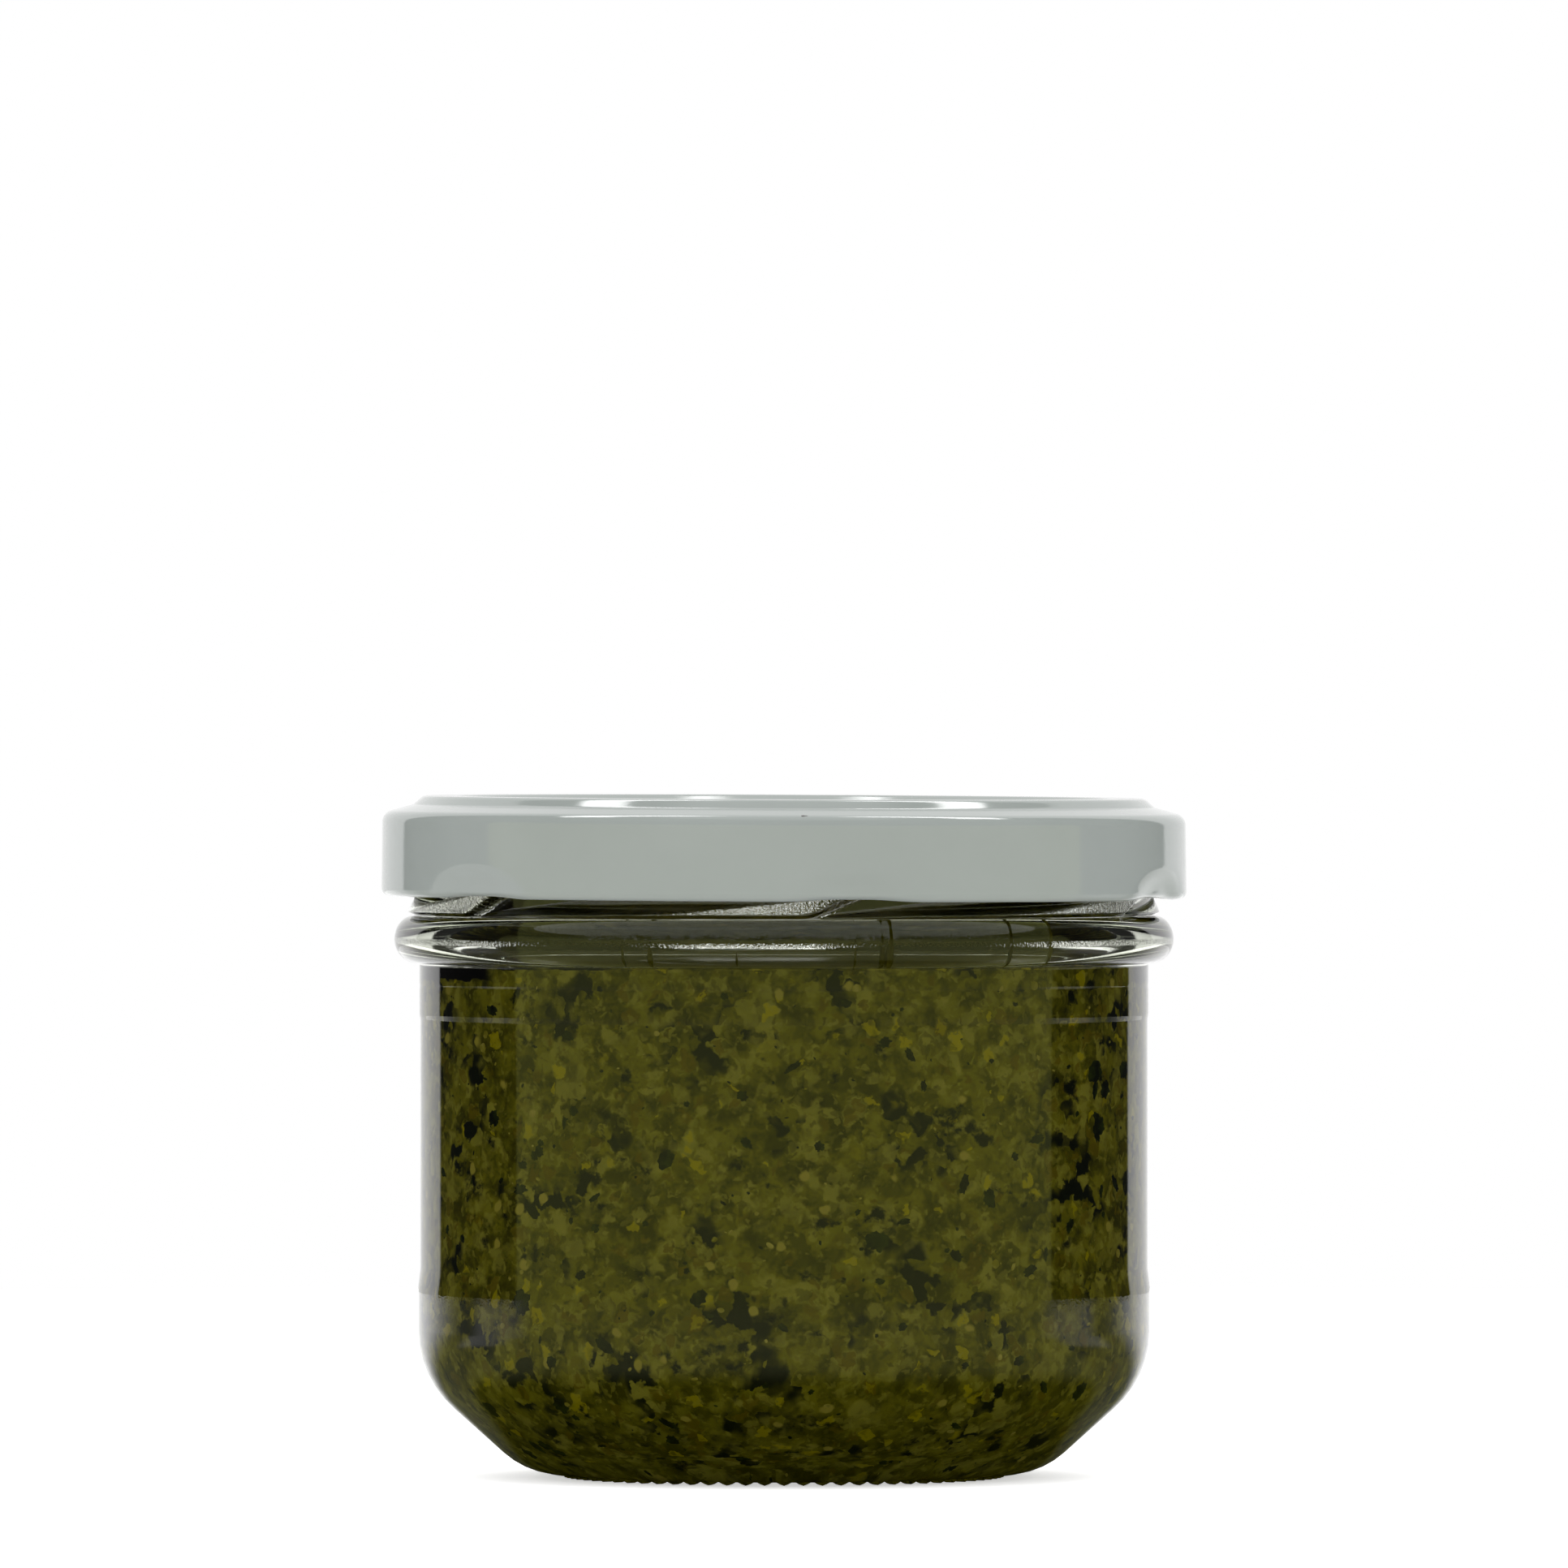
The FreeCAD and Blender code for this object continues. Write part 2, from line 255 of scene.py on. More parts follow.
def makeStudio():
    deselectAll()
    bpy.ops.mesh.primitive_circle_add(vertices=128, radius=studio["tableRadius"], fill_type="NGON")
    floor = bpy.context.object
    floor.name = "floor"
    material, tree, shader = newMaterial("white table", Roughness=1.0)
    shader.inputs["Specular IOR Level"].default_value = 0
    across = splitPlace(tree, objectPlace(tree))
    fromBack = mathNode(tree, "ARCTAN2", mathNode(tree, "ABSOLUTE", across[0]), across[1])
    away = axisDistance(tree, across)
    beside = mathNode(tree, "MULTIPLY", mapRange(tree, fromBack, *studio["sideFade"]),
                      mapRange(tree, away, *studio["sideAway"]))
    # gloss sees painted light and shade on the table: white behind, painted shade where the flags stand,
    # painted light beside the jar and in front, and a painted shadow right under it; other rays see it white
    gloss = mixColour(tree, beside, studio["tableFlagShade"], studio["tableSide"])
    gloss = mixColour(tree, mapRange(tree, fromBack, *studio["whiteFade"]), studio["white"], gloss)
    front = mapRange(tree, fromBack, *studio["frontFade"])
    gloss = mixColour(tree, front, gloss, studio["tableGloss"])
    # painted shadow on the table right under the jar, seen in gloss
    near = mathNode(tree, "MULTIPLY", mapRange(tree, away, *studio["shadowUnderJarAway"], 1.0, 0.0), front)
    gloss = mixColour(tree, near, gloss, studio["tableShadowUnderJar"])
    path = addNode(tree, "ShaderNodeLightPath").outputs
    gloss = mixColour(tree, path["Is Glossy Ray"], studio["white"], gloss)
    tree.links.new(gloss, shader.inputs["Base Color"])
    shader.inputs["Emission Color"].default_value = studio["white"]
    direct = mapRange(tree, path["Diffuse Depth"], 0.0, 1.0, 1.0, studio["tableLight"])
    through = mathNode(tree, "MULTIPLY", path["Is Transmission Ray"], direct)
    seen = mathNode(tree, "MULTIPLY", path["Is Camera Ray"], 1 - studio["shadow"])
    tree.links.new(mathNode(tree, "ADD", through, seen), shader.inputs["Emission Strength"])
    floor.data.materials.append(material)

    bpy.ops.object.camera_add(location=studio["cameraPlace"])
    camera = bpy.context.object
    aim = Vector(studio["cameraAim"]) - Vector(studio["cameraPlace"])
    camera.rotation_euler = aim.to_track_quat("-Z", "Y").to_euler()
    camera.data.lens = studio["lens"]
    scene.camera = camera
    scene.view_settings.view_transform = "Standard"

    world = bpy.data.worlds.new("studio")
    scene.world = world
    world.use_nodes = True
    tree = world.node_tree
    direction = addNode(tree, "ShaderNodeTexCoord").outputs["Generated"]
    parts = splitPlace(tree, direction)
    sideways = mathNode(tree, "ABSOLUTE", parts[0])
    fromBack = mathNode(tree, "ARCTAN2", sideways, parts[1])
    backEdge, flagEdge = math.radians(studio["backEdge"]), math.radians(studio["flagEdge"])
    flagShare = mapRange(tree, fromBack, backEdge - 0.02, backEdge + 0.02)
    cardShare = mapRange(tree, fromBack, flagEdge - 0.01, flagEdge + 0.01)
    gloss = mixColour(tree, flagShare, studio["white"], studio["flag"])
    overCard = mapRange(tree, parts[2], *studio["frontHigh"])
    card = mixColour(tree, overCard, studio["frontCard"], studio["frontTop"])
    through = mixColour(tree, cardShare, gloss, studio["frontCard"])
    gloss = mixColour(tree, cardShare, gloss, card)
    gloss = mixColour(tree, mapRange(tree, parts[2], *studio["topHigh"]), gloss, studio["topCard"])
    stripBand = bandMask(tree, parts[2], studio["stripLow"], studio["stripHigh"], 0.01)
    innerEdge = mapRange(tree, fromBack, studio["stripFrom"] - 0.06, studio["stripFrom"] + 0.06)
    outerEdge = mapRange(tree, fromBack, studio["stripReach"] - 0.02, studio["stripReach"] + 0.02, 1.0, 0.0)
    across = mathNode(tree, "MULTIPLY", innerEdge, outerEdge)
    stripShare = mathNode(tree, "MULTIPLY", stripBand, across)
    glow = studio["stripLight"]
    gloss = mixColour(tree, stripShare, gloss, (glow, glow, glow, 1))
    sides = mapRange(tree, sideways, 0.3, 1.0, 1.0, studio["sideLight"])
    soft = mathNode(tree, "ADD", sides, mapRange(tree, parts[2], 0.1, 1.0, 0.0, studio["overhead"]))
    path = addNode(tree, "ShaderNodeLightPath").outputs
    background = tree.nodes["Background"]
    light = mixColour(tree, path["Is Glossy Ray"], soft, gloss)
    light = mixColour(tree, path["Is Transmission Ray"], light, through)
    light = mixColour(tree, mathNode(tree, "GREATER_THAN", path["Diffuse Depth"], 0.5), light, soft)
    light = mixColour(tree, path["Is Camera Ray"], light, studio["white"])
    tree.links.new(light, background.inputs["Color"])
    print("studio ready")


makeStudio()


# the glass jar
jar = {
    "rimHeight": jarHigh.z / mm,
    "beadRadius": jarHigh.x / mm,
    "wall": 2.35,
    "panelRadius": 38.57,
    "bandOut": 0.26,           # the band under the label panel stands out this far
    "panelBottom": 20.0,
    "panelTop": 48.7,
    "bandRun": 2.2,            # height over which the band turns into the panel
    "bandEase": 3.0,
    "shoulderOut": 0.1,
    "shoulderEase": 0.6,
    "beadMiddle": 57.05,
    "beadHeight": 5.1,
    "beadOut": 2.28,
    "rimStepDrop": 5.3,
    "rimWallLess": 0.3,        # the wall over the upper step is this much thinner
    "rimEase": 1.35,
    "mouthEase": 0.9,
    "mouthDepth": 1.8,
    "taperAngle": 48.2,
    "taperHeight": 10.6,
    "taperEase": 11.0,
    "footWidth": 2.0,
    "footOut": 27.22,          # radius at which the line of the taper meets the foot
    "heelEase": 9.0,
    "knurlHeight": 0.36,
    "domeHeight": 1.46,
    "pushUpFlat": 8.0,         # radius of the flat middle of the push-up
    "pushUpRun": 1.5,
    "pushUpStep": 1.1,
    "pushUpEase": 1.2,
    "floorHeight": 4.82,
    "floorEase": 8.0,
    "innerTaperEase": 8.65,
    # height, depth and width of the faint rings that the mould leaves under the bead
    "ripples": ((52.1, 0.035, 0.2), (50.5, 0.014, 0.16)),
    "waviness": 0.012,
    "tiltFrom": 65,            # the rim follows the tilted lid from this height
    "tiltRun": 5,
    "grit": 0.9,               # strength of the grit on the threads and along the seam
    "plainGrit": 0.012,        # and everywhere else
    "tint": (0.3, 0.41, 0.0, 1),
    "tintDensity": 24.0,
    "steps": 360,
}
jar["bore"] = jar["panelRadius"] - jar["wall"]
jar["groove"] = jar["beadRadius"] - jar["beadOut"]
jar["rimRadius"] = jar["groove"] - jar["rimWallLess"]
jar["beadTop"] = jar["beadMiddle"] + jar["beadHeight"] / 2
jar["beadBottom"] = jar["beadMiddle"] - jar["beadHeight"] / 2
heelSetback = jar["heelEase"] * math.tan(math.radians((90 - jar["taperAngle"]) / 2))
jar["footRadius"] = jar["footOut"] - heelSetback
jar["footInner"] = jar["footRadius"] - jar["footWidth"]

thread = {
    "count": 6,
    "bearing": 4.6,            # low end of the first thread
    "out": 1.1,
    "footGap": 0.04,
    "tip": 0.3,
    "rise": 5.9,               # degrees: slope of its upper side
    "tall": 4.6,
    "sweep": 58.0,             # bearing covered before its end climbs
    "climbSweep": 10.0,
    "climb": 2.2,
    "endSweep": 9.0,
    "under": 0.4,              # height of the steep side under the crest
    "over": 2.5,               # and of the long slope over it
}

knurl = {"count": 72, "width": 1.3, "flat": 0.5, "margin": 0.35}
lidTilt = math.radians(0.27)   # the lid sits a little higher on its left


def jarOutline():
    bead = jar["beadMiddle"]
    shoulder = jar["panelRadius"] + jar["shoulderOut"]
    band = jar["panelRadius"] + jar["bandOut"]
    footRadius, footInner = jar["footRadius"], jar["footInner"]
    mouth = jar["rimHeight"] - jar["mouthDepth"]
    step = jar["rimHeight"] - jar["rimStepDrop"]
    lower = roundedOutline([
        (0, jar["domeHeight"], 0, 1),
        (jar["pushUpFlat"], jar["domeHeight"], 0, 2),
        (footInner - jar["pushUpRun"], jar["knurlHeight"] + jar["pushUpStep"], jar["pushUpEase"], 2),
        (footInner, jar["knurlHeight"], 0.4, 2),
        (footInner + knurl["margin"], jar["knurlHeight"], 0, 1),
        (footInner + knurl["margin"] + 0.1, jar["knurlHeight"], 0, 1),
        (footRadius - knurl["margin"] - 0.1, jar["knurlHeight"], 0, 3),
        (footRadius - knurl["margin"], jar["knurlHeight"], 0, 1),
        (jar["footOut"], jar["knurlHeight"], jar["heelEase"], 1),
        (band, jar["taperHeight"], jar["taperEase"], 3),
        (band, jar["panelBottom"], jar["bandEase"], 3),
        (jar["panelRadius"], jar["panelBottom"] + jar["bandRun"], jar["bandEase"], 1),
        (jar["panelRadius"], jar["panelTop"] - 0.1, jar["shoulderEase"], 6),
        (shoulder, jar["panelTop"] + 0.4, jar["shoulderEase"], 1),
        (shoulder, jar["beadBottom"] - 0.3, 0, 34),
    ])
    swell = []
    for degrees in range(-90, 91, 6):
        turn = math.radians(degrees)
        foot = shoulder if degrees < 0 else jar["groove"]
        radius = foot + (jar["beadRadius"] - foot) * math.cos(turn) ** 0.9
        swell.append(Vector((radius, 0, bead + jar["beadHeight"] / 2 * math.sin(turn))))
    upper = roundedOutline([
        (jar["groove"], jar["beadTop"] + 0.15, 0, 1),
        (jar["groove"], jar["beadTop"] + 3.6, 0, 30),
        (jar["groove"], step, 0.3, 8),
        (jar["rimRadius"], step + jar["rimWallLess"], 0.3, 1),
        (jar["rimRadius"], jar["rimHeight"], jar["rimEase"], 3),
        (jar["bore"], jar["rimHeight"], jar["mouthEase"], 1),
        (jar["bore"], mouth, 0, 1),
    ])
    outside = lower + swell + upper
    return outside + cavityOutline(jar["bore"], mouth, 0.0)[1:]


def cavityOutline(radius, top, grow):
    # the inside of the jar, from a height down to the middle of its floor
    slope = math.tan(math.radians(jar["taperAngle"]))
    band = jar["panelRadius"] + jar["bandOut"]
    taperGap = jar["wall"] / math.cos(math.radians(jar["taperAngle"]))
    taperHeight = jar["taperHeight"] + (taperGap - (band - jar["bore"])) / slope
    taperHeight -= grow * 0.4
    floorHeight = jar["floorHeight"] - grow
    floorRadius = radius - (taperHeight - floorHeight) * slope
    return roundedOutline([
        (radius, top, 0, 1),
        (radius, taperHeight, jar["innerTaperEase"], 14),
        (floorRadius, floorHeight, jar["floorEase"], 2),
        (0, floorHeight, 0, 4),
    ])


def threadReach(bearing, height):
    # how far the nearest threads stand out of the neck at a place
    reach = 0.0
    whole = thread["sweep"] + thread["climbSweep"] + thread["endSweep"]
    for index in range(thread["count"]):
        sweep = (bearing - thread["bearing"] - index * 360 / thread["count"]) % 360
        if sweep > whole:
            continue
        along = jar["groove"] * math.radians(sweep)
        low = jar["beadTop"] + thread["footGap"]
        low += thread["climb"] * smoothStep((sweep - thread["sweep"]) / thread["climbSweep"])
        full = min(thread["tip"] + along * math.tan(math.radians(thread["rise"])), thread["tall"])
        closing = (sweep - thread["sweep"] - thread["climbSweep"]) / thread["endSweep"]
        tall = full - (full - thread["tip"]) * smoothStep(closing)
        if low < height < low + tall:
            under = (height - low) / thread["under"] * thread["out"]
            over = (low + tall - height) / thread["over"] * thread["out"]
            reach = max(reach, min(thread["out"], under, over))
    return reach


def rippleAt(height):
    return sum(deep * math.exp(-(((height - place) / wide) ** 2)) for place, deep, wide in jar["ripples"])


def knurlReach(bearing, radius):
    spacing = 360 / knurl["count"]
    away = abs(bearingGap(bearing, round(bearing / spacing) * spacing))
    across = 2 * radius * math.sin(math.radians(away))
    return min(1.0, max(0.0, (knurl["width"] - across) / (knurl["width"] - knurl["flat"])))


def shapeJar(piece):
    knurlIn = jar["footInner"] + knurl["margin"] + 0.05
    knurlOut = jar["footRadius"] - knurl["margin"] - 0.05
    for vertex in piece.data.vertices:
        place = vertex.co
        radius, height = math.hypot(place.x, place.y) / mm, place.z / mm
        if radius < 1:
            continue
        bearing = bearingOf(place)
        place.z -= lidTilt * place.x * smoothStep((height - jar["tiltFrom"]) / jar["tiltRun"])
        if radius > jar["bore"] + 1:
            if jar["beadTop"] < height < jar["rimHeight"] - jar["rimStepDrop"]:
                reach = threadReach(bearing, height)
            else:
                wave = noise.noise(Vector((place.x * 60, place.y * 60, place.z * 25)))
                reach = jar["waviness"] * wave - rippleAt(height)
                if height > jar["beadBottom"] or height < 5:
                    reach = 0
            place.xy *= (radius + reach) / radius
        if height < jar["knurlHeight"] + 0.01 and knurlIn < radius < knurlOut:
            place.z -= jar["knurlHeight"] * mm * knurlReach(bearing, radius)


def glassMaterial():
    material, tree, shader = newMaterial(
        "jar glass", Base_Color=(1, 1, 1, 1), Roughness=0.0, IOR=1.52, Transmission_Weight=1.0)
    place = objectPlace(tree)
    parts = splitPlace(tree, place)
    radius = axisDistance(tree, parts)
    # gritty thread crests, and a gritty line where the mould halves meet round the bead
    crestRadius = jar["groove"] + thread["out"]
    crest = mapRange(tree, radius, (crestRadius - 0.2) * mm, (crestRadius - 0.04) * mm)
    neck = mapRange(tree, parts[2], (jar["beadTop"] - 0.1) * mm, (jar["beadTop"] + 0.3) * mm)
    overSeam = mathNode(tree, "SUBTRACT", parts[2], (jar["beadMiddle"] - 0.1) * mm)
    seam = mapRange(tree, mathNode(tree, "ABSOLUTE", overSeam), 0.1 * mm, 0.4 * mm, 0.6, 0.0)
    swell = mapRange(tree, radius, (jar["groove"] + 1) * mm, (jar["groove"] + 1.8) * mm)
    onThreads = mathNode(tree, "MULTIPLY", neck, crest)
    rough = mathNode(tree, "ADD", onThreads, mathNode(tree, "MULTIPLY", seam, swell))
    strength = mathNode(tree, "MULTIPLY_ADD", rough, jar["grit"], jar["plainGrit"])
    grit = noiseAt(tree, place, 3800.0)["Fac"]
    bump = addNode(tree, "ShaderNodeBump", {"Height": grit, "Strength": strength, "Distance": 0.0001})
    tree.links.new(bump.outputs[0], shader.inputs["Normal"])
    tint = addNode(tree, "ShaderNodeVolumeAbsorption", {"Color": jar["tint"], "Density": jar["tintDensity"]})
    tree.links.new(tint.outputs[0], tree.nodes["Material Output"].inputs["Volume"])
    return material


def makeJar():
    piece = turnOutline("tapered_jar", jarOutline(), jar["steps"])
    shapeJar(piece)
    dress(piece, glassMaterial(), "glass_jar")
    print("jar:", len(piece.data.polygons), "faces")


makeJar()


# the lid, one pressed sheet
lid = {
    "top": lidHigh.z / mm,
    "bottom": lidLow.z / mm,
    "skirt": lidHigh.x / mm,
    "sheet": 0.22,
    "curl": 0.8,
    "curlTurn": 300,
    "skirtDraft": 0.1,
    "shoulderDrop": 1.85,
    "shoulderRound": 1.3,
    "seatWidth": 4.65,
    "seatInset": 0.5,
    "seatSlope": 1.3,
    "seatEase": 0.9,
    "stepWidth": 1.05,
    "stepDrop": 0.94,
    "stepEase": 0.6,
    "panelDrop": 0.75,
    "buttonRadius": 17.0,
    "buttonHeight": 0.4,
    "buttonRun": 1.6,
    "buttonEase": 2.0,
    "lugs": 6,
    "lugBearing": 10.0,
    "lugReach": 0.85,          # the rolled edge is pressed in this far at a lug
    "lugRaise": 0.25,          # and its lower edge is lifted this far
    "lugWidth": 12.5,          # degrees to either side
    "lugHeight": 3.7,
    "lugFade": 0.75,           # share of a lug over which the press fades out
    "raiseHeight": 0.9,        # the lift fades out over this height
    "raiseWidth": 10,          # and ends this many degrees to either side,
    "raiseFade": 8,            # after fading over so many
    "chip": (2.1, -41.75, 70.45),          # where the enamel is chipped
    "chipSize": 0.62,
    "chipColour": (0.02, 0.015, 0.01, 1),
    "enamel": (0.282, 0.309, 0.293, 1),
    "enamelPale": (0.32, 0.347, 0.332, 1),
    "lacquer": (0.16, 0.13, 0.03, 1),      # the clear golden coat inside
    "lacquerPale": (0.24, 0.19, 0.05, 1),
    "steps": 360,
    "curlSteps": 24,
}


def lidOutline():
    panel = lid["top"] - lid["panelDrop"]
    seatOuter = jar["rimRadius"] - lid["seatInset"]
    seatInner = seatOuter - lid["seatWidth"]
    curlHeight = lid["bottom"] + lid["curl"]
    curlCentre = lid["skirt"] - lid["curl"]
    outside = roundedOutline([
        (0, panel + lid["buttonHeight"], 0, 1),
        (lid["buttonRadius"] - lid["buttonRun"], panel + lid["buttonHeight"], lid["buttonEase"], 5),
        (lid["buttonRadius"], panel, lid["buttonEase"], 1),
        (seatInner, panel, lid["seatEase"], 6),
        (seatInner + lid["seatSlope"], lid["top"], lid["seatEase"], 1),
        (seatOuter, lid["top"], lid["seatEase"], 2),
        (seatOuter + lid["stepWidth"], lid["top"] - lid["stepDrop"], lid["stepEase"], 1),
        (lid["skirt"] - lid["skirtDraft"], lid["top"] - lid["shoulderDrop"], lid["shoulderRound"], 1),
        (lid["skirt"], curlHeight, 0, 12),
    ], 7.0)
    for step in range(1, lid["curlSteps"] + 1):
        turn = math.radians(lid["curlTurn"] * step / lid["curlSteps"])
        across, down = lid["curl"] * math.cos(turn), lid["curl"] * math.sin(turn)
        outside.append(Vector((curlCentre + across, 0, curlHeight - down)))
    ways = [(after - before).normalized() for before, after in zip(outside, outside[1:])]
    inside = []
    for index, point in enumerate(outside):
        way = (ways[max(index - 1, 0)] + ways[min(index, len(ways) - 1)]).normalized()
        inside.append(point + Vector((way.z, 0, -way.x)) * lid["sheet"])
    inside[0].x = 0
    return outside + inside[::-1]


def shapeLid(piece):
    for vertex in piece.data.vertices:
        place = vertex.co
        radius, height = math.hypot(place.x, place.y) / mm, place.z / mm
        place.z -= lidTilt * place.x
        if radius < jar["rimRadius"] + 1 or height > lid["bottom"] + lid["lugHeight"]:
            continue
        bearing = bearingOf(place)
        bearings = [lid["lugBearing"] + lug * 360 / lid["lugs"] for lug in range(lid["lugs"])]
        gap = min(abs(bearingGap(bearing, lugBearing)) for lugBearing in bearings)
        away = math.hypot(gap / lid["lugWidth"], (height - lid["bottom"]) / lid["lugHeight"])
        press = smoothStep((1 - away) / lid["lugFade"])
        place.xy *= (radius - lid["lugReach"] * press) / radius
        low = smoothStep((lid["bottom"] + lid["raiseHeight"] - height) / lid["raiseHeight"])
        near = smoothStep((lid["raiseWidth"] - gap) / lid["raiseFade"])
        place.z += lid["lugRaise"] * mm * low * near


def enamelMaterial():
    material, tree, shader = newMaterial("grey enamel", Roughness=0.07, IOR=1.62)
    place = objectPlace(tree)
    cloud = noiseAt(tree, place, 90.0, 5.0)["Fac"]
    colour = mixColour(tree, cloud, lid["enamel"], lid["enamelPale"])
    chip = [value * mm for value in lid["chip"]]
    size = lid["chipSize"] * mm
    away = addNode(tree, "ShaderNodeVectorMath", {0: place, 1: chip}, operation="DISTANCE").outputs["Value"]
    ragged = mathNode(tree, "MULTIPLY", noiseAt(tree, place, 2500.0)["Fac"], size)
    chipped = mapRange(tree, mathNode(tree, "ADD", away, ragged), size * 0.8, size, 1.0, 0.0)
    colour = mixColour(tree, chipped, colour, lid["chipColour"])
    tree.links.new(colour, shader.inputs["Base Color"])
    peel = noiseAt(tree, place, 700.0)["Fac"]
    bump = addNode(tree, "ShaderNodeBump", {"Height": peel, "Strength": 0.05, "Distance": 0.0001})
    tree.links.new(bump.outputs[0], shader.inputs["Normal"])
    return material


def lacquerMaterial():
    material, tree, shader = newMaterial("lid lacquer", Roughness=0.25, IOR=1.5)
    cloud = noiseAt(tree, objectPlace(tree), 150.0, 4.0)["Fac"]
    tree.links.new(mixColour(tree, cloud, lid["lacquer"], lid["lacquerPale"]), shader.inputs["Base Color"])
    return material


def makeLid():
    piece = turnOutline("lug_lid", lidOutline(), lid["steps"])
    shapeLid(piece)
    dress(piece, enamelMaterial(), "lid")
    piece.data.materials.append(lacquerMaterial())
    for face in piece.data.polygons:
        across = Vector((face.center.x, face.center.y, 0))
        inSkirt = across.length > (jar["rimRadius"] + 1.5) * mm
        facesIn = face.normal.dot(across) < 0 if inSkirt else face.normal.z < 0
        if facesIn and face.center.z > (lid["bottom"] + 1.9) * mm:
            face.material_index = 1
    print("lid:", len(piece.data.polygons), "faces")


makeLid()


# the pesto
pesto = {
    "level": jar["rimHeight"] - 16.5,
    "crown": 0.8,
    "intoWall": 0.03,
    # bearing, depth and spread of the hollows round its edge
    "hollows": ((-62.0, 0.7, 9.0), (74.0, 0.7, 6.0), (140.0, 1.5, 11.0), (-140.0, 2.1, 12.0)),
    "hollowWidth": 3.0,        # how far a hollow reaches in from the wall
    "lump": 0.9,
    "steps": 360,
    "dark": (0.0373, 0.0349, 0.0006, 1),
    "olive": (0.137, 0.124, 0.005, 1),
    "pale": (0.236, 0.214, 0.028, 1),
    "brown": (0.0953, 0.0711, 0.00078, 1),
    "yellow": (0.305, 0.254, 0.00065, 1),
    "leaf": (0.0045, 0.0062, 0.0028, 1),
    "grain": (0.26, 0.22, 0.03, 1),
    "sway": (500.0, 0.0012),   # scale and reach of the stirring that makes the bits ragged
    "wander": (900.0, 0.0018),
    "bitScale": 620.0,
    "crumbScale": 1500.0,
    # for bits and crumbs: which of a cell's random values, over which range of it, the cover at the
    # range's two ends, and the colour
    "bitTones": ((0, 0.45, 1.0, 0.0, 0.75, "pale"), (0, 0.0, 0.35, 0.75, 0.0, "dark"),
                 (1, 0.78, 0.9, 0.0, 0.8, "brown"), (2, 0.9, 0.94, 0.0, 0.7, "yellow")),
    "crumbTones": ((0, 0.6, 1.0, 0.0, 0.5, "pale"), (1, 0.0, 0.3, 0.6, 0.0, "dark")),
    "shade": (0.0016, 0.0014, 0.0016, 1),  # painted shade at the glass, standing for dark pockets under its edge
    # from and to which bearing, in radians, the painted shade reaches, and how far under the level
    "shadeSpans": ((-1.5, -0.95, 2.6), (-0.95, -0.75, 1.3), (-0.75, -0.5, 1.0), (1.3, 1.62, 3.0)),
    "topOilAndSheen": (0.42, 0.36, 0.12, 1),      # its oily upper side: its browner oil colour, made paler by painted sheen and light
    "topEdgeShade": (0.035, 0.031, 0.001, 1),   # and painted shade on it towards the glass
    "topFade": (19, 26),       # radii between which the one turns into the other
    # from and to which bearing paste clings to the glass over the edge, and how high
    "smears": ((124.0, 175.0, 9.0), (163.0, 202.0, 2.1), (197.0, 247.0, 9.0)),
    "fibres": ((150.0, 215.0, 16, 2.6), (-30.0, 4.0, 5, 1.6), (6.0, 56.0, 9, 2.6)),   # and how many
    "smearThickness": 0.2,
    "smearFoot": 1.5,          # a smear starts this far under the edge
    "smearTop": 65,            # and ends under this height
}


def pestoHeight(x, y):
    radius = math.hypot(x, y)
    share = min(radius / jar["bore"], 1.0)
    height = pesto["level"] + pesto["crown"] * (1 - share * share)
    for bearing, depth, spread in pesto["hollows"]:
        turn = math.radians(bearing)
        away = math.hypot(x - jar["bore"] * math.sin(turn), y + jar["bore"] * math.cos(turn))
        inward = max(jar["bore"] - radius, 0) / pesto["hollowWidth"]
        height -= depth * math.exp(-((away / spread) ** 2) - inward ** 2)
    lumps = noise.noise(Vector((x * 0.16, y * 0.16, 3))) + 0.5 * noise.noise(Vector((x * 0.4, y * 0.4, 8)))
    return height + pesto["lump"] * lumps * smoothStep((jar["bore"] - radius) / 5)


def pestoOutline():
    radius = jar["bore"] + pesto["intoWall"]
    top = [Vector((radius * (step / 40) ** 0.8, 0, pesto["level"])) for step in range(40)]
    return top + cavityOutline(radius, pesto["level"], pesto["intoWall"])


def shapePesto(piece):
    start = pesto["level"] - 12    # the paste under this height keeps its place
    for vertex in piece.data.vertices:
        place = vertex.co
        height = place.z / mm
        if height > start:
            top = pestoHeight(place.x / mm, place.y / mm)
            rough = noise.noise(place * 900) * 0.12
            share = (height - start) / (pesto["level"] - start)
            place.z = (start + (top + rough * share ** 6 - start) * share) * mm


def wallPath():
    # the cavity's wall from the pesto's edge down to the floor, as (distance, radius, height)
    outline = cavityOutline(jar["bore"] + pesto["intoWall"], pesto["level"], pesto["intoWall"])
    path, distance = [], 0.0
    for before, after in zip(outline, outline[1:]):
        path.append((distance, before.x, before.z))
        distance += (after - before).length
    path.append((distance, outline[-1].x, outline[-1].z))
    return path


def onWall(path, distance, bearing, proud):
    # a point at a distance down the wall, standing proud of the paste by a little
    for before, after in zip(path, path[1:]):
        if distance <= after[0]:
            break
    share = (distance - before[0]) / max(after[0] - before[0], 1e-6)
    radius = before[1] + (after[1] - before[1]) * share
    height = before[2] + (after[2] - before[2]) * share
    way = Vector((after[1] - before[1], after[2] - before[2])).normalized()
    radius, height = radius - way.y * proud, height + way.x * proud
    turn = math.radians(bearing)
    return Vector((radius * math.sin(turn), -radius * math.cos(turn), height)) * mm


def speckMask(tree, place, scale, low, high, detail=2.0, stretch=1.0, shift=0.0):
    # ragged patches where the noise runs high
    inputs = {"Vector": place, "Location": (shift, shift, 0), "Scale": (1, 1, stretch)}
    moved = addNode(tree, "ShaderNodeMapping", inputs).outputs[0]
    return mapRange(tree, noiseAt(tree, moved, scale, detail, 0.6)["Fac"], low, high)


